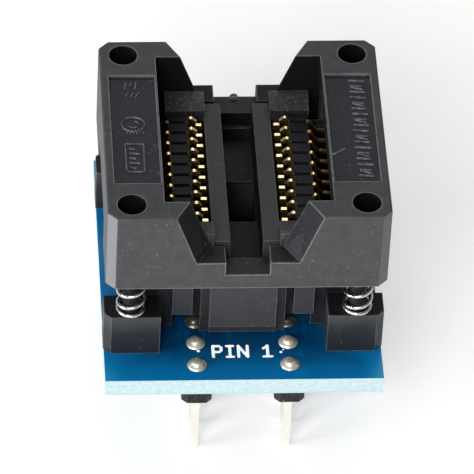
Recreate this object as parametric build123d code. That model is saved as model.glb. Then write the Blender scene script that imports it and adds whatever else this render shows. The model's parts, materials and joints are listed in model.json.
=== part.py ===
from build123d import *
import os

# Spring-loaded open-top socket for small-outline chips, soldered to a board with two header rows.
# All sizes are in millimetres. X runs across the chip, Y along it, +Z is up.
# Heights in this file are measured from the top face of the board. The saved parts are lifted, so
# that the tips of the header pins stand on Z = 0.

# ---- header rows and board -------------------------------------------------------------------
PITCH = 2.54
PINS_PER_ROW = 10
ROW_X = 3.81                  # half of the 7.62 between the rows
PIN_W = 0.64
PIN_BELOW_STRIP = 6.0
PIN_ABOVE_BOARD = 0.3
STRIP_W = 2.5
STRIP_H = 1.9
STRIP_CORNER = 0.45
STRIP_LOWER_CHAMFER = 0.35
BOARD_X = 22.8
BOARD_Y = 26.4
BOARD_T = 1.6
PIN_HOLE_R = 0.5
DOME_R = 0.82
DOME_H = 0.5
LIFT = PIN_BELOW_STRIP + STRIP_H + BOARD_T

# ---- contacts --------------------------------------------------------------------------------
CONTACTS_PER_SIDE = 10
CONTACT_PITCH = 1.27
CONTACT_T = 0.3
SLOT_W = 0.39
STEM_X_IN = 3.12              # inner side of the upright stem
STEM_X_OUT = 3.55
LOWER_JAW_X = 2.92            # inner end of the lower jaw
LOWER_JAW_H = 0.55
SEAT_Z = 10.9                 # the chip and its leads rest at this height
ROOT_BAR_Z = 2.4
ROOT_BAR_H = 0.8
PIVOT_X = 4.6                 # where the springy arm bends
PIVOT_Z = 4.6
EYE_R = 0.3                   # round lower end of the springy arm
EYE_GAP = 0.04
ARM_W = 0.4
JAW_W = 0.36
LEVER_W = 0.26
TAIL_X_NEAR = 6.35
TAIL_X_FAR = 8.25
TAIL_W = 0.4
TAIL_BELOW_BOARD = 0.9
TAIL_HOLE_R = 0.4

# ---- socket base -----------------------------------------------------------------------------
TOWER_X = 2.74
TOWER_Y = 8.25
TOWER_BOTTOM = 0.4
TOWER_PLINTH_H = 0.8
TOWER_PLINTH_IN = 0.25
GROOVE_X = 1.33
GROOVE_Z = 7.5
GROOVE_HOLE_Y = 2.4
RIB_X_IN = 4.14
RIB_X_OUT = 5.8
RIB_Y = 8.0
RIB_TOP = 11.2
RIB_BOTTOM = 2.4
END_BLOCK_X_OUT = 5.95
END_BLOCK_Y_IN = 6.63
END_BLOCK_Y_OUT = 8.6
END_BLOCK_RIDGE_Y = 8.0       # its top slopes down from here towards the chip
END_BLOCK_TOP = 12.0
END_BLOCK_LOW_TOP = 11.6
END_BLOCK_BOTTOM = 9.0
FIN_X_OUT = 3.5
FIN_Y_IN = 7.25
FIN_Y_OUT = 7.85
FLOOR_Z = 1.2
FLOOR_TOP = 4.0
FLOOR_Y = 6.15
SIDE_WALL_X_IN = 9.0
SIDE_WALL_X_OUT = 10.1
SIDE_WALL_Y = 6.9
SIDE_WALL_TOP = 10.65
END_WALL_Y_OUT = 6.75
END_WALL_TOP = 10.4
END_PLATE_Y_IN = 6.4
SKIRT_Z = 0.02
STOP_Y_IN = 7.9               # low wall that closes each end of the groove
STOP_TOP = 8.45
NOSE_X_OUT = 10.6             # snap noses on the side walls, which keep the cover on
NOSE_Y_IN = 5.45
NOSE_Y_OUT = 6.75
NOSE_H = 0.5
FOOT_X_IN = 6.84
FOOT_X_OUT = 11.45
FOOT_Y_IN = 7.3
FOOT_Y_OUT = 10.0
FOOT_TOP = 4.08
FOOT_CORNER = 0.6

# ---- cover -----------------------------------------------------------------------------------
COVER_X = 22.9
COVER_Y = 21.4
COVER_BOTTOM = 8.0
COVER_TOP = 15.75
COVER_CORNER = 0.8            # flat cut on each upright corner
COVER_EDGE = 0.2              # round on the edges
WINDOW_X = 6.8
WINDOW_Y = 8.68
LOW_WALL_TOP = 10.78
COVER_GROOVE_X = 1.79
COVER_GROOVE_Z = 9.47
NOTCH_OUTER_TOP_X = 5.93
NOTCH_OUTER_LOW_X = 4.19
NOTCH_INNER_TOP_X = 4.75
NOTCH_INNER_LOW_X = 2.9
RAIL_WALL_X = 7.9
RAIL_WALL_BOTTOM = 13.8
RAIL_CAVITY_X = 10.25
RAIL_CAVITY_Y = 7.05
RAIL_CAVITY_TOP = 14.55
PANEL_X_IN = 7.0
PANEL_X_OUT = 10.75
PANEL_Y = 6.45
PANEL_DEPTH = 0.25
HOLE_X = 9.45
HOLE_Y = 8.95
TOP_HOLE_R = 1.17
TOP_HOLE_FLOOR = 11.75
POCKET_R = 1.45
POCKET_ROOF = 10.75
SIDE_CUT_Y = 5.2              # the lower edge of each side is raised between the corners
SIDE_CUT_TOP = 10.7
LATCH_SLOT_X = 10.7           # depth of the slots that the snap noses slide in
LATCH_SLOT_Y_IN = 5.35
LATCH_SLOT_Y_OUT = 6.85
LATCH_SLOT_Z = 8.95
LATCH_GAP = 0.05
GATE_R = 0.35

# ---- springs and travel ----------------------------------------------------------------------
COVER_TRAVEL = 2.6
SPRING_X = 9.25
SPRING_Y = 8.95
SPRING_R = 1.07               # to the middle of the wire
WIRE_R = 0.17
SPRING_TURNS = 6
SPRING_GAP = 0.02
POST_R = 0.7
POST_TOP = POCKET_ROOF - COVER_TRAVEL - 0.1

SIDES = {"left": -1, "right": 1}
ENDS = {"front": -1, "rear": 1}
PIN_YS = [PITCH * (i - (PINS_PER_ROW - 1) / 2) for i in range(PINS_PER_ROW)]
CONTACT_YS = [CONTACT_PITCH * (i - (CONTACTS_PER_SIDE - 1) / 2) for i in range(CONTACTS_PER_SIDE)]

os.makedirs("parts", exist_ok=True)


def save(name, shape):
    """Write one piece, lifted so that the pin tips are at Z = 0."""
    lifted = Pos(0, 0, LIFT) * shape
    export_step(lifted, f"parts/{name}.step")


def block(x0, x1, y0, y1, z0, z1):
    """A box between two corners."""
    centre = Pos((x0 + x1) / 2, (y0 + y1) / 2, (z0 + z1) / 2)
    return centre * Box(abs(x1 - x0), abs(y1 - y0), abs(z1 - z0))


def rod(x, y, z0, z1, radius):
    """An upright cylinder."""
    return Pos(x, y, (z0 + z1) / 2) * Cylinder(radius, z1 - z0)


def on_both_sides(shape):
    return [shape, mirror(shape, about=Plane.YZ)]


def at_both_ends(shape):
    return [shape, mirror(shape, about=Plane.XZ)]


def at_four_corners(shape):
    return [copy for side in on_both_sides(shape) for copy in at_both_ends(side)]


def tail_x(index):
    """The tails stand in two staggered rows."""
    return TAIL_X_NEAR if index % 2 == 0 else TAIL_X_FAR


def punched(sketch, y):
    """Sheet-metal profile in the XZ plane, given its thickness and moved along the chip."""
    return Pos(0, y, 0) * extrude(Plane.XZ * sketch, CONTACT_T / 2, both=True)


def rect(x0, x1, z0, z1):
    """A rectangle of the contact's profile."""
    return Pos((x0 + x1) / 2, (z0 + z1) / 2) * Rectangle(x1 - x0, z1 - z0)


# ---- board and header rows -------------------------------------------------------------------
def circuit_board():
    board = block(-BOARD_X / 2, BOARD_X / 2, -BOARD_Y / 2, BOARD_Y / 2, -BOARD_T, 0)
    for side in SIDES.values():
        for y in PIN_YS:
            board -= rod(side * ROW_X, y, -BOARD_T - 1, 1, PIN_HOLE_R)
        for index, y in enumerate(CONTACT_YS):
            board -= rod(side * tail_x(index), y, -BOARD_T - 1, 1, TAIL_HOLE_R)
    return board


def header_strip(side):
    """Moulded strip made of one eight-sided segment per pin."""
    low = -BOARD_T - STRIP_H
    strip = None
    for y in PIN_YS:
        segment = block(-STRIP_W / 2, STRIP_W / 2, y - PITCH / 2, y + PITCH / 2, low, -BOARD_T)
        segment = chamfer(segment.edges().filter_by(Axis.Z), STRIP_CORNER)
        segment = segment - block(-PIN_W / 2, PIN_W / 2, y - PIN_W / 2, y + PIN_W / 2, low, -BOARD_T)
        strip = segment if strip is None else strip + segment
    bottom_edges = strip.faces().sort_by(Axis.Z)[0].outer_wire().edges()
    strip = chamfer(bottom_edges, STRIP_LOWER_CHAMFER)
    return Pos(side * ROW_X, 0, 0) * strip


def header_pin(x, y):
    """Square pin, drawn in to a blunt point at its lower end."""
    top = PIN_ABOVE_BOARD
    bottom = -BOARD_T - STRIP_H - PIN_BELOW_STRIP
    pin = block(x - PIN_W / 2, x + PIN_W / 2, y - PIN_W / 2, y + PIN_W / 2, bottom, top)
    end_face = pin.faces().sort_by(Axis.Z)[0]
    return chamfer(end_face.edges(), length=0.17, length2=0.45, reference=end_face)


def solder_dome(x, y):
    """Cap of solder over a pin, on the top face of the board."""
    ball_r = (DOME_R ** 2 + DOME_H ** 2) / (2 * DOME_H)
    ball = Pos(x, y, DOME_H - ball_r) * Sphere(ball_r)
    cap = ball & block(x - 2, x + 2, y - 2, y + 2, 0, 2)
    return cap - block(x - PIN_W / 2, x + PIN_W / 2, y - PIN_W / 2, y + PIN_W / 2, -1, PIN_ABOVE_BOARD)


def tail_fillet(x, y):
    """Cone of solder round a contact tail, under the board."""
    low = -BOARD_T - 0.55
    cone = Pos(x, y, (low - BOARD_T) / 2) * Cone(0.28, 0.68, 0.55)
    tail = block(x - TAIL_W / 2, x + TAIL_W / 2, y - CONTACT_T / 2, y + CONTACT_T / 2, low - 1, 0)
    return cone - tail


# ---- contacts --------------------------------------------------------------------------------
def fixed_contact(index):
    """Lower jaw, stem, root bar, flexure stub and solder tail of one right-hand contact."""
    jaw = rect(LOWER_JAW_X, STEM_X_OUT, SEAT_Z - LOWER_JAW_H, SEAT_Z)
    jaw = fillet(jaw.vertices(), 0.12)
    stem = rect(STEM_X_IN, STEM_X_OUT, ROOT_BAR_Z, SEAT_Z - LOWER_JAW_H / 2)
    tail = tail_x(index)
    bar = rect(STEM_X_IN, tail + TAIL_W / 2, ROOT_BAR_Z, ROOT_BAR_Z + ROOT_BAR_H)
    # the stub ends in a cup that the round end of the arm sits in
    stub = rect(PIVOT_X - 0.45, PIVOT_X + 0.45, ROOT_BAR_Z, PIVOT_Z - 0.05)
    stub -= Pos(PIVOT_X, PIVOT_Z) * Circle(EYE_R + EYE_GAP)
    leg = rect(tail - TAIL_W / 2, tail + TAIL_W / 2, -BOARD_T - TAIL_BELOW_BOARD, ROOT_BAR_Z + 0.1)
    profile = jaw + stem + bar + stub + leg
    return punched(profile, CONTACT_YS[index])


def contact_arm(index):
    """Springy arm of one right-hand contact: stem, upper jaw and the lever the cover pushes."""
    stem = Polyline((PIVOT_X, PIVOT_Z), (PIVOT_X + 0.05, 7.8))
    jaw = FilletPolyline((PIVOT_X + 0.05, 7.8), (4.22, 9.0), (4.15, 11.42), (3.87, 11.54), (3.55, 11.22),
                         radius=0.21)
    lever = FilletPolyline((PIVOT_X + 0.05, 7.8), (5.72, 9.2), (5.74, 11.12), (6.02, 11.12), (6.24, 10.5),
                           (6.6, 10.18), (7.3, 10.14), radius=0.14)
    profile = trace(stem, ARM_W) + trace(jaw, JAW_W) + trace(lever, LEVER_W)
    profile += Pos(PIVOT_X, PIVOT_Z) * Circle(EYE_R)
    return punched(profile, CONTACT_YS[index])


# ---- socket base -----------------------------------------------------------------------------
def foot_block():
    """Front right foot, with the post that the spring sits round."""
    foot = block(FOOT_X_IN, FOOT_X_OUT, -FOOT_Y_OUT, -FOOT_Y_IN, 0, FOOT_TOP)
    outer_edge = foot.edges().filter_by(Axis.Z).sort_by(lambda edge: edge.center().X - edge.center().Y)[-1]
    foot = chamfer(outer_edge, FOOT_CORNER)
    foot = fillet(foot.faces().sort_by(Axis.Z)[-1].edges(), 0.12)
    post = rod(SPRING_X, -SPRING_Y, FOOT_TOP - 0.5, POST_TOP, POST_R)
    post = chamfer(post.faces().sort_by(Axis.Z)[-1].edges(), 0.2)
    return foot + post


def socket_base():
    tower = block(-TOWER_X, TOWER_X, -TOWER_Y, TOWER_Y, TOWER_BOTTOM + TOWER_PLINTH_H, SEAT_Z)
    plinth_y = TOWER_Y - TOWER_PLINTH_IN
    tower += block(-TOWER_X, TOWER_X, -plinth_y, plinth_y, TOWER_BOTTOM, TOWER_BOTTOM + TOWER_PLINTH_H + 0.1)
    floor = block(-SIDE_WALL_X_OUT, SIDE_WALL_X_OUT, -FLOOR_Y, FLOOR_Y, FLOOR_Z, FLOOR_TOP)

    rib = block(RIB_X_IN, RIB_X_OUT, -RIB_Y, RIB_Y, RIB_BOTTOM, RIB_TOP)
    wall = block(SIDE_WALL_X_IN, SIDE_WALL_X_OUT, -SIDE_WALL_Y, SIDE_WALL_Y, FLOOR_Z, SIDE_WALL_TOP)
    end_profile = Polyline((-END_BLOCK_Y_OUT, END_BLOCK_BOTTOM), (-END_BLOCK_Y_IN, END_BLOCK_BOTTOM),
                           (-END_BLOCK_Y_IN, END_BLOCK_LOW_TOP), (-END_BLOCK_RIDGE_Y, END_BLOCK_TOP),
                           (-END_BLOCK_Y_OUT, END_BLOCK_TOP), close=True)
    end_width = END_BLOCK_X_OUT - TOWER_X + 0.05
    end = Pos(TOWER_X - 0.05, 0, 0) * extrude(Plane.YZ * make_face(end_profile), end_width)
    fin = block(TOWER_X - 0.05, FIN_X_OUT, -FIN_Y_OUT, -FIN_Y_IN, TOWER_BOTTOM, END_BLOCK_BOTTOM + 0.1)

    base = tower + floor
    for piece in (rib, wall):
        base += on_both_sides(piece)
    # end walls and plates close the well round the contacts, and a web ties each foot to them
    end_wall = block(RIB_X_OUT - 0.1, SIDE_WALL_X_OUT, -END_WALL_Y_OUT, -FLOOR_Y + 0.1, SKIRT_Z, END_WALL_TOP)
    web = block(FOOT_X_IN, SIDE_WALL_X_OUT, -FOOT_Y_IN - 0.1, -END_WALL_Y_OUT + 0.1, SKIRT_Z, FLOOR_TOP)
    end_plate = block(TOWER_X - 0.05, RIB_X_IN + 0.05, -END_WALL_Y_OUT, -END_PLATE_Y_IN,
                      FLOOR_Z, END_BLOCK_BOTTOM + 0.1)
    for piece in (end, fin, end_wall, end_plate, web, foot_block()):
        base += at_four_corners(piece)

    # groove along the tower, open at both ends, with a square hole through its middle
    base -= block(-GROOVE_X, GROOVE_X, -TOWER_Y - 1, TOWER_Y + 1, GROOVE_Z, SEAT_Z + 1)
    base -= block(-GROOVE_X + 0.03, GROOVE_X - 0.03, -GROOVE_HOLE_Y, GROOVE_HOLE_Y, -1, GROOVE_Z + 1)

    # one slot per contact, and a hole in the floor for its tail
    for index, y in enumerate(CONTACT_YS):
        slot = block(TOWER_X, SIDE_WALL_X_IN, y - SLOT_W / 2, y + SLOT_W / 2, ROOT_BAR_Z, RIB_TOP + 1)
        tail = tail_x(index)
        way = block(tail - 0.25, tail + 0.25, y - SLOT_W / 2, y + SLOT_W / 2, 0, ROOT_BAR_Z + 0.5)
        base -= on_both_sides(slot)
        base -= on_both_sides(way)

    stop = block(-GROOVE_X - 0.1, GROOVE_X + 0.1, -TOWER_Y, -STOP_Y_IN, GROOVE_Z - 0.1, STOP_TOP)
    base += at_both_ends(stop)

    # snap noses on the side walls
    nose_low = LATCH_SLOT_Z + LATCH_GAP
    nose = block(SIDE_WALL_X_OUT - 0.1, NOSE_X_OUT, NOSE_Y_IN, NOSE_Y_OUT, nose_low, nose_low + NOSE_H)
    nose = chamfer(nose.edges().filter_by(Axis.Y).group_by(Axis.Z)[-1].sort_by(Axis.X)[-1], 0.3)
    base += at_four_corners(nose)
    return base


# ---- cover -----------------------------------------------------------------------------------
def notch(top_x, low_x, y):
    """Cross-section of the flared notch in the cover's end wall, carried past the top."""
    slope = (top_x - low_x) / (COVER_TOP - LOW_WALL_TOP)
    over = 1.0
    high_x = top_x + slope * over
    outline = Polyline((-low_x, LOW_WALL_TOP), (low_x, LOW_WALL_TOP), (high_x, COVER_TOP + over),
                       (-high_x, COVER_TOP + over), close=True)
    return Plane(origin=(0, y, 0), x_dir=(1, 0, 0), z_dir=(0, -1, 0)) * make_face(outline)


def cover():
    half_y = COVER_Y / 2
    shell = block(-COVER_X / 2, COVER_X / 2, -half_y, half_y, COVER_BOTTOM, COVER_TOP)
    shell = chamfer(shell.edges().filter_by(Axis.Z), COVER_CORNER)
    shell = fillet(shell.edges().filter_by(Axis.Z), COVER_EDGE)
    shell = fillet(shell.faces().sort_by(Axis.Z)[-1].edges(), COVER_EDGE)
    shell -= block(-WINDOW_X, WINDOW_X, -WINDOW_Y, WINDOW_Y, COVER_BOTTOM - 1, COVER_TOP + 1)

    # the flared notch continues a little past both faces of the end wall
    depth = half_y - WINDOW_Y
    past = 0.1 / depth
    outer_top = NOTCH_OUTER_TOP_X + past * (NOTCH_OUTER_TOP_X - NOTCH_INNER_TOP_X)
    outer_low = NOTCH_OUTER_LOW_X + past * (NOTCH_OUTER_LOW_X - NOTCH_INNER_LOW_X)
    inner_top = NOTCH_INNER_TOP_X - past * (NOTCH_OUTER_TOP_X - NOTCH_INNER_TOP_X)
    inner_low = NOTCH_INNER_LOW_X - past * (NOTCH_OUTER_LOW_X - NOTCH_INNER_LOW_X)
    sections = [notch(outer_top, outer_low, -half_y - 0.1), notch(inner_top, inner_low, -WINDOW_Y + 0.1)]
    shell -= at_both_ends(loft(sections, ruled=True))
    shell -= block(-COVER_GROOVE_X, COVER_GROOVE_X, -half_y - 1, half_y + 1, COVER_GROOVE_Z, COVER_TOP)

    # room under each rail for the levers and the side walls of the base
    shell -= on_both_sides(block(RAIL_WALL_X, RAIL_CAVITY_X, -RAIL_CAVITY_Y, RAIL_CAVITY_Y,
                                 COVER_BOTTOM - 1, RAIL_CAVITY_TOP))
    shell -= on_both_sides(block(WINDOW_X - 1, RAIL_WALL_X + 0.1, -RAIL_CAVITY_Y, RAIL_CAVITY_Y,
                                 COVER_BOTTOM - 1, RAIL_WALL_BOTTOM))
    # raised lower edge of each side, between the corners
    shell -= on_both_sides(block(RAIL_CAVITY_X - 0.1, COVER_X, -SIDE_CUT_Y, SIDE_CUT_Y,
                                 COVER_BOTTOM - 1, SIDE_CUT_TOP))
    # shallow panel on top of each rail
    shell -= on_both_sides(block(PANEL_X_IN, PANEL_X_OUT, -PANEL_Y, PANEL_Y,
                                 COVER_TOP - PANEL_DEPTH, COVER_TOP + 1))
    # corner holes above, spring pockets below
    shell -= at_four_corners(rod(HOLE_X, HOLE_Y, TOP_HOLE_FLOOR, COVER_TOP + 1, TOP_HOLE_R))
    shell -= at_four_corners(rod(SPRING_X, SPRING_Y, COVER_BOTTOM - 1, POCKET_ROOF, POCKET_R))

    # slots inside the side walls, which the snap noses of the base slide in
    latch_slot = block(RAIL_CAVITY_X - 0.1, LATCH_SLOT_X, LATCH_SLOT_Y_IN, LATCH_SLOT_Y_OUT,
                       LATCH_SLOT_Z, LATCH_SLOT_Z + NOSE_H + COVER_TRAVEL + 0.3)
    shell -= at_four_corners(latch_slot)

    # stub left by the moulding gate, on the rear end wall
    gate = Pos(0, half_y - 0.2, COVER_GROOVE_Z) * Rot(90, 0, 0) * Cylinder(GATE_R, 0.4)
    shell += gate
    return shell


def spring(x, y):
    """Compression spring on its post, from the foot up to the roof of the pocket."""
    length = POCKET_ROOF - FOOT_TOP - 2 * WIRE_R - 2 * SPRING_GAP
    path = Helix(pitch=length / SPRING_TURNS, height=length, radius=SPRING_R)
    section = Plane(origin=path @ 0, z_dir=path % 0) * Circle(WIRE_R)
    coil = sweep(section, path=path, is_frenet=True)
    return Pos(x, y, FOOT_TOP + WIRE_R + SPRING_GAP) * coil


# ---- write the parts -------------------------------------------------------------------------
save("circuit_board", circuit_board())
save("socket_base", socket_base())
save("cover", cover())

for side_name, side in SIDES.items():
    save(f"header_strip_{side_name}", header_strip(side))
    save(f"header_pins_{side_name}", Compound([header_pin(side * ROW_X, y) for y in PIN_YS]))
    save(f"pin_solder_{side_name}", Compound([solder_dome(side * ROW_X, y) for y in PIN_YS]))
    tails = [(side * tail_x(index), y) for index, y in enumerate(CONTACT_YS)]
    save(f"tail_solder_{side_name}", Compound([tail_fillet(x, y) for x, y in tails]))
    for index in range(CONTACTS_PER_SIDE):
        fixed = fixed_contact(index)
        arm = contact_arm(index)
        if side < 0:
            fixed = mirror(fixed, about=Plane.YZ)
            arm = mirror(arm, about=Plane.YZ)
        save(f"contact_{side_name}_{index + 1:02d}", fixed)
        save(f"contact_arm_{side_name}_{index + 1:02d}", arm)
    for end_name, end in ENDS.items():
        save(f"spring_{end_name}_{side_name}", spring(side * SPRING_X, end * SPRING_Y))
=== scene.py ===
import json
import math
import random

import bmesh
import bpy
from mathutils import Matrix, Vector


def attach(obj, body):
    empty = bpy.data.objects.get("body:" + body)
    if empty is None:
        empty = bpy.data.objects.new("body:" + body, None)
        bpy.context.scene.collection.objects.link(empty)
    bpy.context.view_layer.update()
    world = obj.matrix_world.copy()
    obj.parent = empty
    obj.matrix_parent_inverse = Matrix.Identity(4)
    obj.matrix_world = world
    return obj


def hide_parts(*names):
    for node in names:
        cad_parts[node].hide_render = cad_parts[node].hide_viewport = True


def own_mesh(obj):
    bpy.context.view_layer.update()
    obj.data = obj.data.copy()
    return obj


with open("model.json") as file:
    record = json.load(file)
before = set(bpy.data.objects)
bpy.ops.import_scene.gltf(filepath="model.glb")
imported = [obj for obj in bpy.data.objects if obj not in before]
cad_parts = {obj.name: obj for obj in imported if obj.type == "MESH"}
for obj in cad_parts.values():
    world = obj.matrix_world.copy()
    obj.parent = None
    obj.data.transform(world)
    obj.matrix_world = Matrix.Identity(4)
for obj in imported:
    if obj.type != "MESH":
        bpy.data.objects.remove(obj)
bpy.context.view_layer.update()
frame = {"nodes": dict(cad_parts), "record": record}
NODES = frame["nodes"]
MM = 0.001

# Sizes are in millimetres. Heights are measured from the board's top face, which is BOARD_TOP above
# the tips of the pins. Spring and window positions are one side's: the other side mirrors them.
BOARD_TOP = 9.5
BOARD_UNDERSIDE = -1.6
ROW_X = 3.81
PIN_YS = [2.54 * (i - 4.5) for i in range(10)]
TAIL_XS = (6.35, 8.25)
TAIL_YS = [1.27 * (i - 4.5) for i in range(10)]
FOOT_TOP = 4.08
SPRING_X, SPRING_Y = 9.25, 8.95
SPRING_R = 1.07
SPRING_TOP = 10.75
WIRE_R = 0.17
HOLE_X, HOLE_Y = 9.45, 8.95
HOLE_EDGE = (1.19, 1.24)
WINDOW_X, WINDOW_Y = 6.98, 8.76
MARKS_BASE, MARKS_TOP = 15.49, 15.62
PRINT_BASE, PRINT_TOP = 0.0, 0.018

# ---- camera, as the photograph was taken ------------------------------------------------------
CAMERA_AZIMUTH = -5.27
CAMERA_ELEVATION = 43.61
CAMERA_ROLL = 3.09
CAMERA_DISTANCE = 470.5 * MM
CAMERA_AIM = Vector((-0.22, -1.74, 14.65)) * MM
CAMERA_LENS = 434.0


def add_camera():
    azimuth, elevation = math.radians(CAMERA_AZIMUTH), math.radians(CAMERA_ELEVATION)
    back = Vector((math.sin(azimuth) * math.cos(elevation),
                   -math.cos(azimuth) * math.cos(elevation),
                   math.sin(elevation)))
    level = Vector((math.cos(azimuth), math.sin(azimuth), 0))
    up = back.cross(level)
    roll = math.radians(CAMERA_ROLL)
    right = level * math.cos(roll) + up * math.sin(roll)
    up = back.cross(right)
    turn = Matrix((right, up, back)).transposed().to_4x4()
    data = bpy.data.cameras.new("camera")
    data.lens = CAMERA_LENS
    data.sensor_width = 36.0
    data.clip_start = 0.01
    camera = bpy.data.objects.new("camera", data)
    camera.matrix_world = Matrix.Translation(CAMERA_AIM + back * CAMERA_DISTANCE) @ turn
    bpy.context.scene.collection.objects.link(camera)
    bpy.context.scene.camera = camera


# ---- material graphs --------------------------------------------------------------------------
class Graph:
    """A material's node tree, with short calls for the nodes used here."""

    def __init__(self, name):
        self.mat = bpy.data.materials.new(name)
        self.mat.use_nodes = True
        self.tree = self.mat.node_tree
        self.shader = self.tree.nodes["Principled BSDF"]
        self.place = self.add("ShaderNodeTexCoord").outputs["Object"]

    def add(self, kind, **settings):
        node = self.tree.nodes.new(kind)
        for key, value in settings.items():
            setattr(node, key, value)
        return node

    def put(self, socket, value):
        if isinstance(value, bpy.types.NodeSocket):
            self.tree.links.new(value, socket)
        elif isinstance(value, (tuple, list)) and len(value) == 3 and socket.type == "RGBA":
            socket.default_value = (*value, 1)
        else:
            socket.default_value = value

    def calc(self, operation, a, b=0.0):
        node = self.add("ShaderNodeMath", operation=operation)
        self.put(node.inputs[0], a)
        self.put(node.inputs[1], b)
        return node.outputs[0]

    def times(self, a, b):
        return self.calc("MULTIPLY", a, b)

    def most(self, a, b):
        return self.calc("MAXIMUM", a, b)

    def absolute(self, a):
        return self.calc("ABSOLUTE", a)

    def length(self, a, b):
        return self.calc("SQRT", self.calc("ADD", self.times(a, a), self.times(b, b)))

    def noise(self, size, detail=3.0, rough=0.5, stretch=None):
        """Noise whose blobs are about size millimetres across."""
        vector = self.place
        if stretch:
            node = self.add("ShaderNodeMapping")
            self.put(node.inputs["Vector"], self.place)
            node.inputs["Scale"].default_value = stretch
            vector = node.outputs[0]
        node = self.add("ShaderNodeTexNoise")
        self.put(node.inputs["Vector"], vector)
        node.inputs["Scale"].default_value = 1 / (size * MM)
        node.inputs["Detail"].default_value = detail
        node.inputs["Roughness"].default_value = rough
        return node.outputs["Fac"]

    def cells(self, size):
        """Distance to the middle of the nearest cell; cells are about size millimetres across."""
        node = self.add("ShaderNodeTexVoronoi")
        self.put(node.inputs["Vector"], self.place)
        node.inputs["Scale"].default_value = 1 / (size * MM)
        return node.outputs["Distance"]

    def step(self, value, low, high, out_low=0.0, out_high=1.0):
        """Smooth step from out_low to out_high as value goes from low to high."""
        node = self.add("ShaderNodeMapRange", interpolation_type="SMOOTHSTEP")
        for index, item in enumerate((value, low, high, out_low, out_high)):
            self.put(node.inputs[index], item)
        return node.outputs[0]

    def mix(self, share, a, b):
        """Colour a where share is 0, b where it is 1."""
        node = self.add("ShaderNodeMix", data_type="RGBA")
        self.put(node.inputs[0], share)
        self.put(node.inputs[6], a)
        self.put(node.inputs[7], b)
        return node.outputs[2]

    def axes(self):
        node = self.add("ShaderNodeSeparateXYZ")
        self.put(node.inputs[0], self.place)
        return node.outputs

    def height(self, z):
        """Height above the board's top face."""
        return self.calc("SUBTRACT", z, BOARD_TOP * MM)

    def facing(self):
        """Parts of the true surface normal in the object's own axes."""
        turn = self.add("ShaderNodeVectorTransform", vector_type="NORMAL", convert_from="WORLD",
                        convert_to="OBJECT")
        self.put(turn.inputs[0], self.add("ShaderNodeNewGeometry").outputs["True Normal"])
        node = self.add("ShaderNodeSeparateXYZ")
        self.put(node.inputs[0], turn.outputs[0])
        return node.outputs

    def edges(self, radius):
        """1 near the outer edges, 0 on flat faces and in corners."""
        bevel = self.add("ShaderNodeBevel", samples=6)
        bevel.inputs["Radius"].default_value = radius * MM
        dot = self.add("ShaderNodeVectorMath", operation="DOT_PRODUCT")
        self.put(dot.inputs[0], bevel.outputs[0])
        self.put(dot.inputs[1], self.add("ShaderNodeNewGeometry").outputs["True Normal"])
        turned = self.calc("SUBTRACT", 1.0, dot.outputs["Value"])
        near_edge = self.step(turned, 0.004, 0.08)
        shade = self.add("ShaderNodeAmbientOcclusion", samples=6, only_local=True)
        shade.inputs["Distance"].default_value = 2.2 * radius * MM
        open_side = self.step(shade.outputs["AO"], 0.72, 0.95)
        return self.times(near_edge, open_side)

    def bump(self, height, strength, distance):
        node = self.add("ShaderNodeBump")
        self.put(node.inputs["Height"], height)
        node.inputs["Strength"].default_value = strength
        node.inputs["Distance"].default_value = distance * MM
        return node.outputs[0]

    def finish(self, **inputs):
        """Fills in the shader's inputs, with _ for each space in their names."""
        for key, value in inputs.items():
            self.put(self.shader.inputs[key.replace("_", " ")], value)
        return self.mat


def above(g, value, low, high):
    """0 below low, 1 above high, both in millimetres."""
    return g.step(value, low * MM, high * MM)


def under(g, value, low, high):
    """1 below low, 0 above high, both in millimetres."""
    return g.step(value, low * MM, high * MM, 1.0, 0.0)


def inside(g, value, low, high):
    """1 where value is between low and high millimetres."""
    soft = 0.03
    up = above(g, value, low - soft, low + soft)
    down = under(g, value, high - soft, high + soft)
    return g.times(up, down)


def within(g, value, half, soft=0.03):
    """1 where value is closer to 0 than half millimetres."""
    return under(g, g.absolute(value), half - soft, half + soft)


def all_of(g, *shares):
    """1 only where every share is 1."""
    total = shares[0]
    for share in shares[1:]:
        total = g.times(total, share)
    return total


def flip(g, share):
    """The other share: 1 for 0 and 0 for 1."""
    return g.calc("SUBTRACT", 1.0, share)


def grey(value):
    return (value, value, value)


# ---- moulded plastics -------------------------------------------------------------------------
def scratch(g, x, y, start, end, width):
    """1 on a thin straight line seen from above, from start to end in millimetres."""
    (ax, ay), (bx, by) = start, end
    length = math.hypot(bx - ax, by - ay)
    ux, uy = (bx - ax) / length, (by - ay) / length
    dx, dy = g.calc("SUBTRACT", x, ax * MM), g.calc("SUBTRACT", y, ay * MM)
    along = g.calc("ADD", g.times(dx, ux), g.times(dy, uy))
    across = g.calc("SUBTRACT", g.times(dx, uy), g.times(dy, ux))
    return g.times(inside(g, along, 0, length), within(g, across, width / 2, width / 3))


def in_hole(g, x, y):
    """1 within the round holes above the springs."""
    dx = g.calc("SUBTRACT", g.absolute(x), HOLE_X * MM)
    dy = g.calc("SUBTRACT", g.absolute(y), HOLE_Y * MM)
    return under(g, g.length(dx, dy), *HOLE_EDGE)


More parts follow.
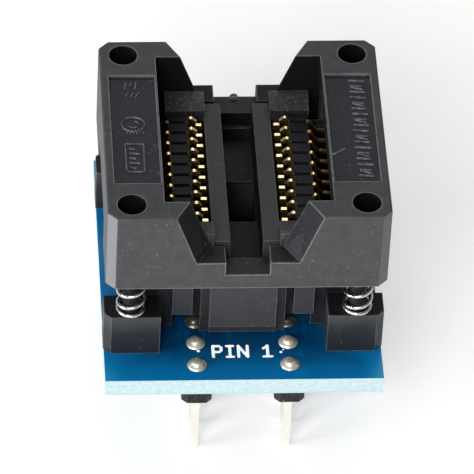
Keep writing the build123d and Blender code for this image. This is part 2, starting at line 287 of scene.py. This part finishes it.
def cover_plastic():
    """Spark-textured outside, its edges rubbed pale and given a painted highlight, the flats on its
    corners paler as painted highlight; the inner walls are smoother and darker with painted shade.
    """
    g = Graph("cover_plastic")
    x, y, z = g.axes()
    nx, ny, nz = g.facing()
    height = g.height(z)
    grain = g.noise(0.13, 4.0, 0.65)
    coarse = g.noise(0.9, 5.0, 0.6)
    cloud = g.noise(5.0, 3.0, 0.5)

    # painted shade: the window's walls, the four round holes and everything under the cover are
    # darker
    faces_up = g.step(nz, 0.8, 0.9)
    faces_down = g.step(nz, -0.5, -0.3, 1.0, 0.0)
    rim = all_of(g, faces_up, above(g, height, 14.7, 14.8))
    in_window = all_of(g, within(g, x, WINDOW_X), within(g, y, WINDOW_Y), flip(g, rim))
    painted_shade = g.most(in_window, faces_down)
    painted_shade = g.most(painted_shade, all_of(g, in_hole(g, x, y), flip(g, rim)))
    # sunk panels on the rails, the groove at the front and the sloped notch round it; the groove
    # and the notch are darkened with painted shade
    panel = all_of(g, faces_up, within(g, y, 6.5), inside(g, height, 15.3, 15.6))
    groove = all_of(g, within(g, x, 1.9), under(g, height, 9.6, 9.8), faces_up)
    notch = all_of(g, above(g, g.absolute(y), 8.6, 8.7), within(g, x, 6.1),
                   above(g, height, 9.9, 10.0), flip(g, g.step(g.absolute(ny), 0.8, 0.9)),
                   flip(g, rim))

    outer = g.mix(cloud, (0.030, 0.0305, 0.032), (0.044, 0.045, 0.048))
    outer = g.mix(g.step(coarse, 0.35, 0.75), outer, (0.052, 0.053, 0.057))
    color = g.mix(g.times(panel, 0.85), outer, (0.005, 0.006, 0.011))
    color = g.mix(g.times(notch, 0.85), color, (0.008, 0.0085, 0.011))
    color = g.mix(painted_shade, color, (0.005, 0.0052, 0.006))
    color = g.mix(groove, color, (0.010, 0.010, 0.012))
    fleck = g.step(g.noise(0.22, 2.0, 0.4), 0.66, 0.73)
    fleck = all_of(g, fleck, g.step(g.noise(2.4, 2.0), 0.42, 0.62), flip(g, painted_shade))
    color = g.mix(g.times(fleck, 0.55), color, (0.17, 0.17, 0.18))
    # one nick on the right rail, beside the window
    nick = g.most(scratch(g, x, y, (7.25, -2.86), (8.15, -2.28), 0.07),
                  scratch(g, x, y, (6.98, -2.98), (7.3, -2.9), 0.18))
    nick = all_of(g, nick, rim)
    color = g.mix(g.times(nick, 0.8), color, (0.30, 0.30, 0.31))
    # painted highlight on the edges, together with rubbing that paled them
    worn_lit_edge = all_of(g, g.edges(0.18), flip(g, g.times(painted_shade, 0.8)))
    worn_lit_edge = g.times(worn_lit_edge, g.step(g.noise(0.7, 4.0, 0.6), 0.25, 0.6, 0.4, 1.0))
    color = g.mix(g.times(worn_lit_edge, 0.85), color, (0.27, 0.27, 0.275))

    # painted highlight: the flats on the four corners are paler, most of all on the left, where the
    # light catches them
    lit_facet = all_of(g, g.step(g.absolute(nx), 0.5, 0.6), g.step(g.absolute(ny), 0.5, 0.6),
                   flip(g, painted_shade))
    color = g.mix(g.times(lit_facet, 0.6), color, (0.14, 0.143, 0.15))
    lit_left_facet = g.times(lit_facet, g.step(nx, -0.1, 0.1, 1.0, 0.0))
    color = g.mix(g.times(lit_left_facet, 0.3), color, (0.30, 0.31, 0.33))

    rough = g.mix(painted_shade, grey(0.55), grey(0.42))
    rough = g.mix(g.times(grain, 0.35), rough, grey(0.75))
    shine = g.mix(g.most(painted_shade, notch), grey(0.42), grey(0.2))
    relief = g.calc("ADD", g.times(grain, 0.8), g.times(g.noise(0.35, 3.0, 0.6), 0.6))
    return g.finish(Base_Color=color, Roughness=rough, IOR=1.5, Specular_IOR_Level=shine,
                    Normal=g.bump(relief, 0.35, 0.02))


def socket_plastic():
    """Glass-filled moulding: bright flecks, rough end blocks, darker slots; the slots and the
    hollows beneath the cover carry painted shade.
    """
    g = Graph("socket_plastic")
    x, y, z = g.axes()
    height = g.height(z)
    along, across = g.absolute(y), g.absolute(x)
    grain = g.noise(0.12, 4.0, 0.65)
    coarse = g.noise(0.6, 5.0, 0.65)
    cloud = g.noise(3.5, 3.0, 0.55)

    end_block = all_of(g, above(g, height, 9.1, 9.3), above(g, along, 6.55, 6.62),
                       above(g, across, 2.7, 2.75))
    ribs = all_of(g, within(g, y, 6.6), above(g, across, 3.6, 3.7), above(g, height, 4.2, 4.6))
    in_groove = all_of(g, within(g, x, 1.36), within(g, y, 8.28), above(g, height, 7.2, 7.4))
    plinth = all_of(g, within(g, x, 2.8), under(g, height, 1.15, 1.25))
    foot = all_of(g, above(g, across, 6.7, 6.8), above(g, along, 7.2, 7.28))
    shaded_foot_top = all_of(g, foot, above(g, height, 4.0, 4.05))
    walls = all_of(g, flip(g, foot), above(g, across, 2.76, 2.8), under(g, height, 9.0, 9.1))

    color = g.mix(cloud, (0.026, 0.027, 0.030), (0.040, 0.041, 0.046))
    # painted shade: the low walls, the hollows beneath the cover, the slotted ribs, the groove and
    # the plinth by the board are darker
    shaded_hollow = all_of(g, walls, under(g, along, 7.9, 7.95))
    color = g.mix(g.times(walls, 0.35), color, (0.016, 0.017, 0.020))
    color = g.mix(g.times(shaded_hollow, 0.75), color, (0.006, 0.007, 0.009))
    color = g.mix(ribs, color, (0.012, 0.012, 0.015))
    color = g.mix(in_groove, color, (0.009, 0.009, 0.011))
    color = g.mix(g.times(plinth, 0.7), color, (0.012, 0.011, 0.014))
    # painted light and shade on the feet: darker low down, paling slowly towards their upper edge,
    # and a painted shadow of the cover on their tops
    pale = above(g, g.calc("ADD", height, g.times(cloud, 1.5 * MM)), 2.9, 4.8)
    color = g.mix(g.times(foot, 0.85), color, (0.006, 0.008, 0.011))
    color = g.mix(g.times(g.times(foot, pale), 0.6), color, (0.055, 0.058, 0.064))
    color = g.mix(g.times(shaded_foot_top, 0.93), color, (0.004, 0.004, 0.005))
    # painted shade: the posts inside the springs and the inner side of each end block are darker
    off = g.length(g.calc("SUBTRACT", across, SPRING_X * MM),
                   g.calc("SUBTRACT", along, SPRING_Y * MM))
    shaded_post = all_of(g, under(g, off, 0.75, 0.8), above(g, height, 4.2, 4.3))
    color = g.mix(g.times(shaded_post, 0.9), color, (0.005, 0.005, 0.006))
    shaded_upright = all_of(g, end_block, under(g, along, 6.68, 6.72))
    color = g.mix(g.times(shaded_upright, 0.8), color, (0.010, 0.010, 0.012))
    # pale speckles on the end blocks, then bright flecks, and edges rubbed pale that also carry a
    # painted highlight
    speckle = g.step(g.noise(0.28, 4.0, 0.7), 0.52, 0.72)
    speckled = all_of(g, speckle, end_block, g.step(along, 6.7 * MM, 7.0 * MM, 0.25, 0.85))
    color = g.mix(speckled, color, (0.15, 0.15, 0.16))
    fleck = g.step(g.noise(0.19, 2.0, 0.4), 0.66, 0.73)
    fleck = all_of(g, fleck, g.step(coarse, 0.45, 0.62), flip(g, ribs))
    color = g.mix(g.times(fleck, 0.5), color, (0.17, 0.17, 0.18))
    worn_lit_edge = g.times(g.edges(0.12), g.step(g.noise(0.6, 4.0, 0.6), 0.3, 0.62, 0.25, 1.0))
    worn_lit_edge = g.times(worn_lit_edge, g.mix(ribs, grey(0.7), grey(0.15)))
    color = g.mix(worn_lit_edge, color, (0.19, 0.19, 0.20))
    rough = g.mix(g.times(grain, 0.4), grey(0.5), grey(0.75))
    shine = g.mix(g.most(ribs, g.most(in_groove, shaded_foot_top)), grey(0.4), grey(0.2))
    relief = g.calc("ADD", g.times(grain, 0.7), g.times(coarse, 0.8))
    return g.finish(Base_Color=color, Roughness=rough, IOR=1.5, Specular_IOR_Level=shine,
                    Normal=g.bump(relief, 0.4, 0.025))


def strip_plastic():
    """Black header plastic with fine pale flecks."""
    g = Graph("strip_plastic")
    grain = g.noise(0.1, 3.0, 0.6)
    color = g.mix(g.noise(1.2, 4.0), (0.006, 0.006, 0.007), (0.016, 0.0155, 0.016))
    fleck = g.step(g.noise(0.17, 3.0, 0.6), 0.6, 0.72)
    color = g.mix(g.times(fleck, 0.6), color, (0.22, 0.20, 0.19))
    # painted highlight on the edges, together with rubbing that paled them
    color = g.mix(g.times(g.edges(0.1), 0.5), color, grey(0.2))
    return g.finish(Base_Color=color, Roughness=0.5, IOR=1.5, Specular_IOR_Level=0.25,
                    Normal=g.bump(grain, 0.35, 0.02))


def mark_plastic():
    """The cover's plastic where it stands up as marks: they are pale in patches, a painted
    highlight.
    """
    g = Graph("mark_plastic")
    patchiness = g.noise(0.45, 4.0, 0.65)
    # painted highlight: the raised marks are paler in patches
    color = g.mix(g.step(patchiness, 0.35, 0.65), (0.035, 0.036, 0.042), (0.13, 0.13, 0.15))
    return g.finish(Base_Color=color, Roughness=0.5, IOR=1.5,
                    Normal=g.bump(g.noise(0.13, 4.0), 0.35, 0.02))


# ---- metals -----------------------------------------------------------------------------------
def metal(name, light, deep, rough, blotch=0.8):
    """Plain metal with blotches about blotch millimetres across, from deep to light."""
    g = Graph(name)
    cloud = g.noise(blotch, 4.0, 0.6)
    color = g.mix(g.step(cloud, 0.35, 0.7), deep, light)
    fine = g.noise(0.08, 3.0, 0.6)
    r = g.step(fine, 0.2, 0.8, rough * 0.75, rough * 1.35)
    relief = g.calc("ADD", g.times(cloud, 1.2), fine)
    return g.finish(Base_Color=color, Metallic=1.0, Roughness=r, Normal=g.bump(relief, 0.25, 0.02))


def solder():
    """Bright solder over the pins; the joints that lie under the cover are darkened with painted
    shade.
    """
    g = Graph("solder")
    y = g.axes()[1]
    cloud = g.noise(0.5, 4.0, 0.6)
    color = g.mix(g.step(cloud, 0.35, 0.7), (0.86, 0.80, 0.62), (0.99, 0.97, 0.88))
    # painted shade on the joints beneath the cover
    shaded_under_cover = g.step(g.absolute(y), 6.9 * MM, 7.6 * MM, 0.9, 0.0)
    color = g.mix(shaded_under_cover, color, (0.09, 0.08, 0.05))
    r = g.step(g.noise(0.08, 3.0, 0.6), 0.2, 0.8, 0.22, 0.38)
    relief = g.calc("ADD", g.times(cloud, 1.2), g.noise(0.12, 3.0, 0.6))
    return g.finish(Base_Color=color, Metallic=0.75, Roughness=r, Normal=g.bump(relief, 0.25, 0.02))


def contact_gold():
    """Gold plate: bright rolled faces, redder on the levers, and redder and duller deep in the
    slots, which is painted shade.
    """
    g = Graph("contact_gold")
    x, _, z = g.axes()
    height = g.height(z)
    cloud = g.noise(0.5, 4.0, 0.6)
    lever = above(g, g.absolute(x), 5.2, 5.4)
    color = g.mix(g.step(cloud, 0.3, 0.7), (0.90, 0.64, 0.25), (0.99, 0.84, 0.50))
    color = g.mix(g.times(lever, 0.75), color, (0.93, 0.55, 0.20))
    # painted shade deep in the slots, between the contacts
    deep = g.step(height, 9.2 * MM, 10.6 * MM, 0.8, 0.0)
    color = g.mix(g.times(deep, flip(g, lever)), color, (0.36, 0.18, 0.05))
    r = g.step(g.noise(0.1, 3.0, 0.6), 0.2, 0.8, 0.22, 0.36)
    return g.finish(Base_Color=color, Metallic=1.0, Roughness=r, Normal=g.bump(cloud, 0.2, 0.02))


# ---- board ------------------------------------------------------------------------------------
def board_material():
    """Blue mask on both faces, with painted shade near the socket and painted light towards the
    rims; pale glass fibre on the cut edges.
    """
    g = Graph("board")
    x, y, z = g.axes()
    across, along = g.absolute(x), g.absolute(y)
    face = g.step(g.absolute(g.facing()[2]), 0.6, 0.7)
    centre = g.noise(7.0, 2.0, 0.5)
    # painted light and shade: the mask is darker near the socket and paler towards the rims
    rim_x = above(g, across, 5.0, 11.5)
    rim_y = above(g, along, 8.6, 13.3)
    rim = g.most(g.times(rim_x, 0.8), rim_y)
    rim = g.times(rim, g.step(centre, 0.2, 0.8, 0.8, 1.0))
    mask = g.mix(rim, (0.000, 0.042, 0.125), (0.000, 0.180, 0.455))
    # painted glare: the board's corners are paler still
    glare_corner = all_of(g, above(g, across, 9.5, 11.6), above(g, along, 9.0, 13.4))
    mask = g.mix(g.times(glare_corner, 0.7), mask, (0.005, 0.31, 0.56))
    streak = g.noise(0.9, 4.0, 0.6, stretch=(1.0, 0.25, 1.0))
    mask = g.mix(g.times(g.step(streak, 0.5, 0.8), 0.3), mask, (0.000, 0.22, 0.50))
    weave = g.cells(0.35)
    fibre = g.noise(0.22, 4.0, 0.7, stretch=(0.55, 0.55, 1.0))
    cut = g.mix(g.step(fibre, 0.35, 0.65), (0.40, 0.54, 0.58), (0.53, 0.66, 0.69))
    low = g.step(z, 7.9 * MM, 8.25 * MM, 0.55, 0.0)
    cut = g.mix(low, cut, (0.35, 0.55, 0.62))
    color = g.mix(face, cut, mask)
    rough = g.mix(face, grey(0.75), grey(0.30))
    relief = g.calc("ADD", g.times(weave, 0.25), g.times(g.noise(0.5, 3.0), 0.6))
    return g.finish(Base_Color=color, Roughness=rough, IOR=1.5, Specular_IOR_Level=0.25,
                    Coat_Weight=0.04, Coat_Roughness=0.15, Normal=g.bump(relief, 0.12, 0.03))


def silkscreen():
    """White print, a little rubbed; it glows a little, which is painted light."""
    g = Graph("silkscreen")
    patchiness = g.noise(0.12, 3.0, 0.6)
    color = g.mix(g.step(patchiness, 0.45, 0.8), (0.95, 0.97, 0.98), (0.62, 0.76, 0.85))
    # painted light: the print glows a little
    return g.finish(Base_Color=color, Roughness=0.6, Emission_Color=color, Emission_Strength=0.35,
                    Normal=g.bump(patchiness, 0.3, 0.01))


# ---- CAD nodes: finer edges and the finishes --------------------------------------------------
ROUNDED = {"cover": 0.07, "socket_base": 0.05, "circuit_board": 0.03,
           "header_strip_left": 0.06, "header_strip_right": 0.06}
ROUND_SEGMENTS = 2
SHARP_ANGLE = 32


def rounded(obj, width):
    """Rounds the sharp edges of a CAD node with modifiers, which leave its own mesh alone."""
    weld = obj.modifiers.new("weld", "WELD")
    weld.merge_threshold = 0.000002
    flat = obj.modifiers.new("flat", "DECIMATE")
    flat.decimate_type = "DISSOLVE"
    flat.angle_limit = math.radians(0.6)
    bevel = obj.modifiers.new("round", "BEVEL")
    bevel.width = width * MM
    bevel.segments = ROUND_SEGMENTS
    bevel.limit_method = "ANGLE"
    bevel.angle_limit = math.radians(SHARP_ANGLE)
    bevel.use_clamp_overlap = True
    bevel.miter_outer = "MITER_ARC"
    smooth = obj.modifiers.new("normals", "WEIGHTED_NORMAL")
    smooth.keep_sharp = False
    smooth.weight = 60


add_camera()
MATERIALS = {
    "board": board_material(),
    "socket_plastic": socket_plastic(),
    "cover_plastic": cover_plastic(),
    "strip_plastic": strip_plastic(),
    "header_pin": metal("header_pin", (0.98, 0.96, 0.89), (0.93, 0.89, 0.78), 0.32),
    "solder": solder(),
    "spring_wire": metal("spring_wire", (0.85, 0.84, 0.82), (0.55, 0.54, 0.52), 0.22, 0.4),
    "contact_gold": contact_gold(),
    "pad_metal": metal("pad_metal", (0.80, 0.72, 0.50), (0.45, 0.38, 0.22), 0.35, 0.5),
    "silkscreen": silkscreen(),
    "mark_plastic": mark_plastic(),
}
SLOT_OF = {part["node"]: part["material_slot"] for part in frame["record"]["subparts"]}
for name, obj in NODES.items():
    obj.data.materials.clear()
    obj.data.materials.append(MATERIALS[SLOT_OF[name]])
for name, width in ROUNDED.items():
    rounded(NODES[name], width)


# ---- new pieces -------------------------------------------------------------------------------
def at(x, y, z):
    """A point given in millimetres, with its height measured from the board's top face."""
    return Vector((x, y, z + BOARD_TOP)) * MM


def mesh_from(bm, name):
    """The finished mesh, with its faces turned outwards."""
    bmesh.ops.recalc_face_normals(bm, faces=bm.faces)
    mesh = bpy.data.meshes.new(name)
    bm.to_mesh(mesh)
    bm.free()
    return mesh


def piece(name, bm, material, body, smooth=True):
    """Adds a new piece made from bm, which rides on body."""
    mesh = mesh_from(bm, name)
    obj = bpy.data.objects.new(name, mesh)
    bpy.context.scene.collection.objects.link(obj)
    mesh.materials.append(MATERIALS[material])
    for face in mesh.polygons:
        face.use_smooth = smooth
    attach(obj, body)
    return obj


def ring(bm, points):
    return [bm.verts.new(point) for point in points]


def bridge(bm, a, b):
    for i in range(len(a)):
        j = (i + 1) % len(a)
        bm.faces.new((a[i], a[j], b[j], b[i]))


def lathe(bm, x, y, profile, around, wobble=0.0, seed=0):
    """Turns a (radius, height) profile about an upright axis; wobble puts it out of round."""
    rand = random.Random(seed)
    phases = [(rand.uniform(0, 6.28), rand.uniform(0.4, 1.0)) for _ in range(3)]
    rings = []
    for radius, height in profile:
        points = []
        for j in range(around):
            a = 2 * math.pi * j / around
            off = sum(w * math.sin((k + 2) * a + p) for k, (p, w) in enumerate(phases))
            r = radius * (1 + wobble * off)
            points.append(at(x + r * math.cos(a), y + r * math.sin(a), height))
        rings.append(ring(bm, points))
    for a, b in zip(rings, rings[1:]):
        bridge(bm, a, b)
    return rings


def bar(bm, x0, y0, x1, y1, width, z0, z1):
    """Raised straight stroke with rounded ends and a narrower top."""
    a, b = Vector((x0, y0, 0)), Vector((x1, y1, 0))
    along = (b - a).normalized()
    side = Vector((-along.y, along.x, 0))
    rings = []
    for z, w in ((z0, width), (z0 + 0.7 * (z1 - z0), width * 0.92), (z1, width * 0.7)):
        points = []
        for centre, turn in ((b, -90), (a, 90)):
            for k in range(9):
                angle = math.radians(turn + 180 * k / 8)
                offset = along * math.cos(angle) + side * math.sin(angle)
                point = centre + offset * (w / 2)
                points.append(at(point.x, point.y, z))
        rings.append(ring(bm, points))
    for low, high in zip(rings, rings[1:]):
        bridge(bm, low, high)
    bm.faces.new(rings[-1])


def arc(bm, x, y, rx, ry, width, z0, z1, start=0, stop=360, steps=20):
    """Part of an ellipse, drawn with short strokes."""
    last = None
    for k in range(steps + 1):
        a = math.radians(start + (stop - start) * k / steps)
        point = (x + rx * math.cos(a), y + ry * math.sin(a))
        if last:
            bar(bm, *last, *point, width, z0, z1)
        last = point


def spring(x, y, front_z):
    """Wire coil with a closed dead turn at each end, which passes its front at height front_z."""
    pitch, dead_turn, gap = 1.3, 0.95, 0.01
    per_turn, around = 48, 14
    low, high = FOOT_TOP + WIRE_R + gap, SPRING_TOP - WIRE_R - gap
    start, end = (low - front_z) / pitch, (high - front_z) / pitch
    bm = bmesh.new()
    rings = []
    first, last = start - dead_turn, end + dead_turn
    count = int((last - first) * per_turn)
    for i in range(count + 1):
        turn = first + (last - first) * i / count
        climb = 0.5 * pitch * (math.hypot(turn - start, 0.12) - math.hypot(turn - end, 0.12))
        z = min(max(0.5 * (low + high) + climb, low), high)
        angle = -math.pi / 2 + 2 * math.pi * turn
        out = Vector((math.cos(angle), math.sin(angle), 0))
        centre = Vector((x, y, z)) + out * SPRING_R
        taper = min(1.0, 0.25 + 4.0 * min(turn - first, last - turn))
        points = []
        for j in range(around):
            a = 2 * math.pi * j / around
            offset = (out * (WIRE_R * math.cos(a))
                      + Vector((0, 0, 1)) * (WIRE_R * taper * math.sin(a)))
            points.append(at(*(centre + offset)))
        rings.append(ring(bm, points))
    for a, b in zip(rings, rings[1:]):
        bridge(bm, a, b)
    bm.faces.new(rings[0])
    bm.faces.new(rings[-1])
    return bm


def add_springs():
    """Coils in place of the CAD springs."""
    for side, sx, left_right_z in (("left", -1, 5.19), ("right", 1, 4.95)):
        for end, sy, front_rear_z in (("front", -1, 0), ("rear", 1, 0.4)):
            x, y = sx * SPRING_X, sy * SPRING_Y
            bm = spring(x, y, left_right_z + front_rear_z)
            coil = piece(f"coil_{end}_{side}", bm, "spring_wire", "base")
            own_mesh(coil)
            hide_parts(f"spring_{end}_{side}")


# (radius, height) of a joint's outline, from its foot to its tip
SOLDER_DOME = [(0.80, 0.0), (0.797, 0.035), (0.775, 0.075), (0.73, 0.12), (0.66, 0.165),
               (0.59, 0.21), (0.52, 0.265), (0.465, 0.325), (0.41, 0.385), (0.345, 0.435),
               (0.26, 0.47), (0.16, 0.49), (0.05, 0.498)]


def add_solder():
    """Domes of solder over the header pins, with a wetted foot and a small tip."""
    for side, sx in (("left", -1), ("right", 1)):
        bm = bmesh.new()
        for i, y in enumerate(PIN_YS):
            rings = lathe(bm, sx * ROW_X, y, SOLDER_DOME, around=44, wobble=0.012, seed=i + 20 * sx)
            bm.faces.new(rings[-1])
            bm.faces.new(rings[0])
        domes = piece(f"solder_domes_{side}", bm, "solder", "base")
        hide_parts(f"pin_solder_{side}")


def pad(bm, x, y, inner, outer, z0, z1):
    """One flat ring with a rounded outer edge."""
    profile = [(inner, z0), (inner, z1), (outer - 0.02, z1), (outer, (z0 + z1) / 2), (outer, z0)]
    rings = lathe(bm, x, y, profile, around=36)
    bridge(bm, rings[-1], rings[0])


def add_pads():
    """Plated rings round every hole, on both faces of the board."""
    sunk, thick = 0.002, 0.03
    pin_hole, tail_hole = 0.52, 0.42
    above_board = (-sunk, thick)
    below_board = (BOARD_UNDERSIDE - thick, BOARD_UNDERSIDE + sunk)
    bm = bmesh.new()
    for sx in (-1, 1):
        for y in PIN_YS:
            pad(bm, sx * ROW_X, y, pin_hole, 0.82, *above_board)
            pad(bm, sx * ROW_X, y, pin_hole, 0.93, *below_board)
        for i, y in enumerate(TAIL_YS):
            pad(bm, sx * TAIL_XS[i % 2], y, tail_hole, 0.72, *below_board)
    piece("pads", bm, "pad_metal", "base")


def add_rail_marks():
    """Generic moulded marks on the two rails: a ring, a frame and rows of plain strokes."""
    z0, z1 = MARKS_BASE, MARKS_TOP
    rand = random.Random(4)
    bm = bmesh.new()
    # short strokes at the rear of the left rail
    for k in range(3):
        bar(bm, -9.45 + 0.42 * k, 5.1 + 0.3 * (k % 2), -9.35 + 0.42 * k, 5.75, 0.13, z0, z1)
        bar(bm, -9.4 + 0.42 * k, 4.15, -9.2 + 0.42 * k, 4.5, 0.12, z0, z1)
    # ring with an open arc in it, over a row of ticks
    arc(bm, -8.95, 0.75, 0.95, 0.85, 0.14, z0, z1)
    arc(bm, -8.95, 0.75, 0.45, 0.38, 0.12, z0, z1, 200, 420, 12)
    for k in range(6):
        bar(bm, -9.5 + 0.26 * k, -0.35, -9.42 + 0.26 * k, -0.2, 0.11, z0, z1)
    # frame round five strokes
    rear_left, rear_right = (-9.7, -1.6), (-8.2, -1.6)
    front_left, front_right = (-9.7, -4.9), (-8.25, -4.9)
    for a, b in ((rear_left, rear_right), (rear_left, front_left), (rear_right, front_right),
                 (front_left, front_right)):
        bar(bm, *a, *b, 0.12, z0, z1)
    for k in range(5):
        y = -2.15 - 0.56 * k
        bar(bm, -9.35, y, -8.95 + 0.3 * (k % 2), y - 0.08, 0.14, z0, z1)
    piece("rail_marks_left", bm, "mark_plastic", "cover", smooth=False)

    # column of plain strokes down the right rail
    bm = bmesh.new()
    for k in range(18):
        y = 5.85 - 0.67 * k
        x = 9.62 + rand.uniform(-0.05, 0.05)
        half = (0.6, 0.42, 0.55)[k % 3]
        bar(bm, x - half, y, x + half, y - 0.1, 0.15, z0, z1)
        if k % 3 == 1:
            bar(bm, x - half, y - 0.12, x + half, y - 0.45, 0.13, z0, z1)
    piece("rail_marks_right", bm, "mark_plastic", "cover", smooth=False)


def add_silkscreen():
    """Generic print, drawn with straight strokes: the mark of the first pin and three dots."""
    low, high, width = -10.52, -9.28, 0.25
    z0, z1 = PRINT_BASE, PRINT_TOP
    middle = 0.5 * (low + high)
    bm = bmesh.new()
    x = -2.42
    # P
    bar(bm, x, low, x, high, width, z0, z1)
    bar(bm, x, high, x + 0.5, high, width, z0, z1)
    bar(bm, x, middle - 0.05, x + 0.5, middle - 0.05, width, z0, z1)
    bar(bm, x + 0.66, high - 0.14, x + 0.66, middle + 0.1, width, z0, z1)
    # I
    x = -1.04
    bar(bm, x, low, x, high, width, z0, z1)
    bar(bm, x - 0.27, low, x + 0.27, low, width * 0.9, z0, z1)
    bar(bm, x - 0.27, high, x + 0.27, high, width * 0.9, z0, z1)
    # N
    x = -0.34
    bar(bm, x, low, x, high, width, z0, z1)
    bar(bm, x + 0.74, low, x + 0.74, high, width, z0, z1)
    bar(bm, x, high, x + 0.74, low, width, z0, z1)
    # 1
    x = 2.05
    bar(bm, x, low, x, high, width, z0, z1)
    bar(bm, x - 0.34, high - 0.3, x, high, width * 0.9, z0, z1)
    bar(bm, x - 0.34, low, x + 0.34, low, width * 0.9, z0, z1)
    piece("pin_mark", bm, "silkscreen", "base", smooth=False)

    bm = bmesh.new()
    for x, y, r in ((-3.63, -9.82, 0.13), (3.14, -10.04, 0.12), (3.35, -9.75, 0.07)):
        rings = lathe(bm, x, y, [(r, z0), (r, 0.012), (r * 0.8, z1)], around=20)
        bm.faces.new(rings[-1])
    piece("dots", bm, "silkscreen", "base")


add_springs()
add_solder()
add_pads()
add_rail_marks()
add_silkscreen()


# ---- floor and light --------------------------------------------------------------------------
FLOOR_GLOW = 0.37
WORLD_COLOR, WORLD_STRENGTH = (0.97, 0.985, 1, 1), 0.27
# name, place and aim in metres, size in metres, power in watts
LIGHTS = (("key", (-0.30, -0.85, 0.62), (0, 0, 0.01), (0.5, 0.4), 7.5),
          ("top", (0.05, 0.60, 0.62), (0, 0, 0.01), (0.5, 0.35), 1.0),
          ("left", (-0.75, -0.30, 0.16), (0, 0, 0.012), (0.35, 0.2), 6.0))


def floor_material():
    """Bright paper sweep: it glows a little, so the shadows on it stay faint."""
    g = Graph("floor")
    tone = g.mix(g.noise(60, 3.0), (0.80, 0.795, 0.78), (0.84, 0.835, 0.82))
    return g.finish(Base_Color=tone, Roughness=0.9, Emission_Color=(1.0, 1.0, 0.985),
                    Emission_Strength=FLOOR_GLOW)


def add_floor():
    bpy.ops.mesh.primitive_plane_add(size=4, location=(0, 0, 0))
    floor = bpy.context.object
    floor.name = "floor"
    floor.data.materials.append(floor_material())


def add_light(name, place, aim, size, power):
    data = bpy.data.lights.new(name, "AREA")
    data.shape = "RECTANGLE"
    data.size, data.size_y = size
    data.energy = power
    light = bpy.data.objects.new(name, data)
    light.location = place
    direction = Vector(aim) - Vector(place)
    light.rotation_euler = direction.to_track_quat("-Z", "Y").to_euler()
    bpy.context.scene.collection.objects.link(light)


add_floor()
for light in LIGHTS:
    add_light(*light)

world = bpy.data.worlds.new("world")
bpy.context.scene.world = world
world.use_nodes = True
background = world.node_tree.nodes["Background"]
background.inputs["Color"].default_value = WORLD_COLOR
background.inputs["Strength"].default_value = WORLD_STRENGTH

bpy.context.scene.view_settings.view_transform = "Standard"
